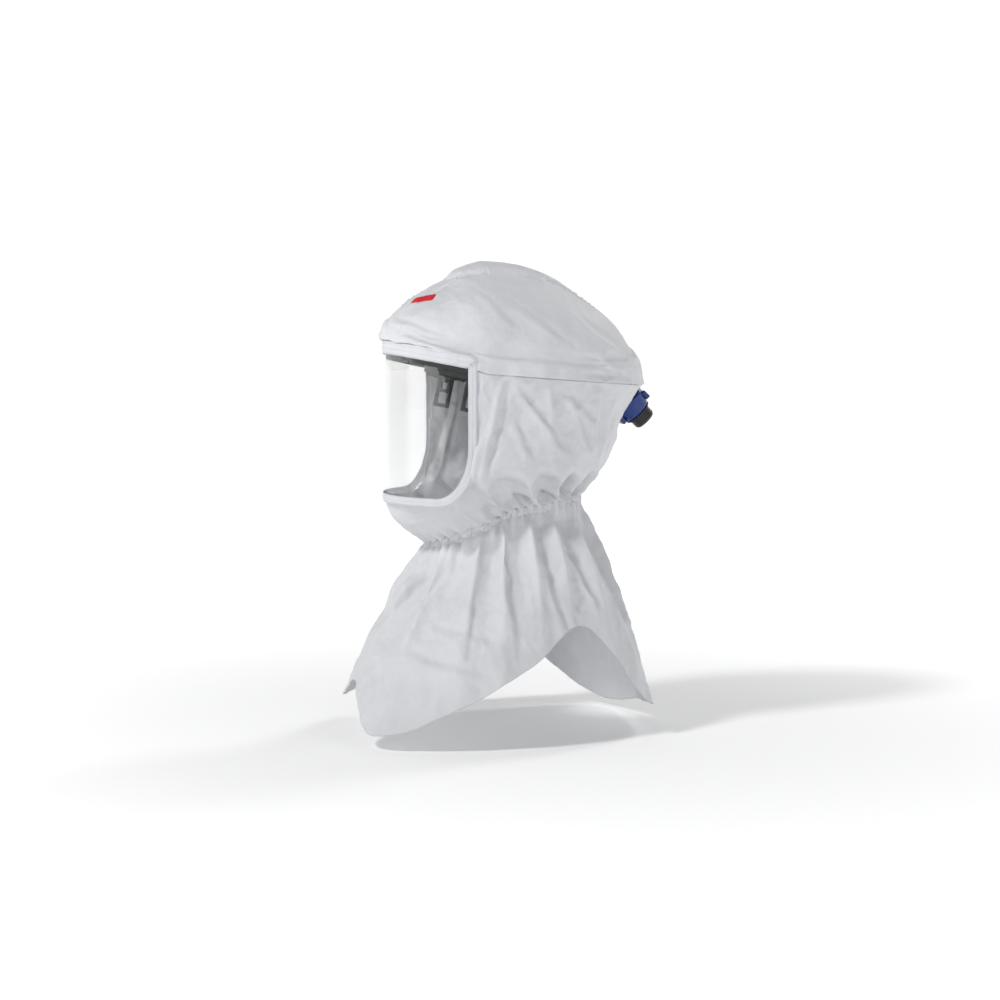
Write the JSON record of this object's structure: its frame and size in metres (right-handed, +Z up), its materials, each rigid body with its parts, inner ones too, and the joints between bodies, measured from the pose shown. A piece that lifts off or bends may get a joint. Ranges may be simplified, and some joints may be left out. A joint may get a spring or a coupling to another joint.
{
  "type": "powered air respirator headtop",
  "caption": "Loose white hood with a curved clear visor, a gathered neck and shoulder skirt, an inner head harness with a ratchet, and a swivelling air inlet at the back.",
  "frame": {"origin": "centre of the headband ring, where the wearer's head holds the headtop", "axes": "+Z up as worn, -Y the way the wearer looks, +X to the wearer's left"},
  "size_m": [0.3419, 0.4013, 0.5705],
  "materials": {
    "fabric": "white coated nonwoven, matt, crisp creases",
    "border": "white binding strip, satin",
    "lens": "clear thin plastic sheet",
    "badge": "plain red film",
    "elastic": "rubber",
    "black_plastic": "black moulded, satin",
    "dark_plastic": "dark grey moulded, satin",
    "grey_plastic": "grey moulded",
    "blue_plastic": "deep blue moulded, semi-gloss",
    "foam": "dark padded cloth",
    "webbing": "black woven strap",
    "steel": "bright metal"
  },
  "bodies": {
    "harness": {"headband_front": "black_plastic", "brow_pad": "foam", "lug_left": "black_plastic", "lug_right": "black_plastic", "lug_cap_left": "steel", "lug_cap_right": "steel", "strap_clip_left": "black_plastic", "strap_clip_right": "black_plastic", "strap_leg_left": "webbing", "strap_leg_right": "webbing", "rear_arm_left": "black_plastic", "rear_arm_right": "black_plastic"},
    "crown_pad": {"crown_pad": "foam"},
    "hood_frame": {"hood_crown": "fabric", "hood_cape": "fabric", "hood_skirt": "fabric", "neck_elastic": "fabric", "visor_lens": "lens", "lens_border": "border", "brow_patch": "badge", "front_bow": "black_plastic", "duct_base": "grey_plastic", "duct_lid": "grey_plastic", "temple_bracket_left": "black_plastic", "temple_bracket_right": "black_plastic", "bow_rivet_left": "steel", "bow_rivet_right": "steel", "inlet_housing": "blue_plastic", "inlet_clamp_ring": "dark_plastic", "inlet_seal": "elastic"},
    "deflector": {"air_deflector": "black_plastic"},
    "nape_unit": {"ratchet_housing": "black_plastic", "ratchet_cover": "black_plastic", "nape_pad": "foam"},
    "knob": {"ratchet_knob": "dark_plastic", "ratchet_pinion": "grey_plastic"},
    "rack_left": {"rack_left": "dark_plastic"},
    "rack_right": {"rack_right": "dark_plastic"},
    "swivel_collar": {"swivel_collar": "dark_plastic"},
    "release_tab_upper": {"release_tab_upper": "blue_plastic"},
    "release_tab_lower": {"release_tab_lower": "blue_plastic"}
  },
  "joints": [
    {"name": "headband_height", "type": "slide", "parent": "harness", "child": "hood_frame", "axis": [0, 0.2079, 0.9781], "range_m": [-0.01, 0.01]},
    {"name": "crown_height", "type": "slide", "parent": "harness", "child": "crown_pad", "axis": [0, 0.2079, 0.9781], "range_m": [-0.012, 0.006], "deforming": ["strap_leg_left", "strap_leg_right"]},
    {"name": "nape_slide", "type": "slide", "parent": "harness", "child": "nape_unit", "axis": [0, -0.9781, 0.2079], "range_m": [0, 0.0075], "deforming": ["rear_arm_left", "rear_arm_right"]},
    {"name": "knob_turn", "type": "hinge", "parent": "nape_unit", "child": "knob", "pos_m": [0, 0.10207, -0.0585], "axis": [0, -0.9781, 0.2079], "range_deg": [0, 135]},
    {"name": "rack_left_slide", "type": "slide", "parent": "nape_unit", "child": "rack_left", "axis": [-1, 0, 0], "range_m": [0, 0.0122]},
    {"name": "rack_right_slide", "type": "slide", "parent": "nape_unit", "child": "rack_right", "axis": [1, 0, 0], "range_m": [0, 0.0122]},
    {"name": "collar_spin", "type": "hinge", "parent": "hood_frame", "child": "swivel_collar", "pos_m": [0, 0.1605, -0.027], "axis": [0, 0.7218, -0.6921], "continuous": true},
    {"name": "release_upper", "type": "slide", "parent": "hood_frame", "child": "release_tab_upper", "axis": [0, -0.6921, -0.7218], "range_m": [0, 0.0025], "stiffness_N_per_m": 400, "springref_m": -0.002},
    {"name": "release_lower", "type": "slide", "parent": "hood_frame", "child": "release_tab_lower", "axis": [0, 0.6921, 0.7218], "range_m": [0, 0.0025], "stiffness_N_per_m": 400, "springref_m": -0.002},
    {"name": "deflector_tilt", "type": "hinge", "parent": "hood_frame", "child": "deflector", "pos_m": [0, -0.1175, 0.0565], "axis": [1, 0, 0], "range_deg": [-25, 25]}
  ],
  "couplings": [
    {"joint": "nape_slide", "follows": "knob_turn", "m_per_rad": 0.003},
    {"joint": "rack_left_slide", "follows": "knob_turn", "m_per_rad": 0.005},
    {"joint": "rack_right_slide", "follows": "knob_turn", "m_per_rad": 0.005}
  ]
}
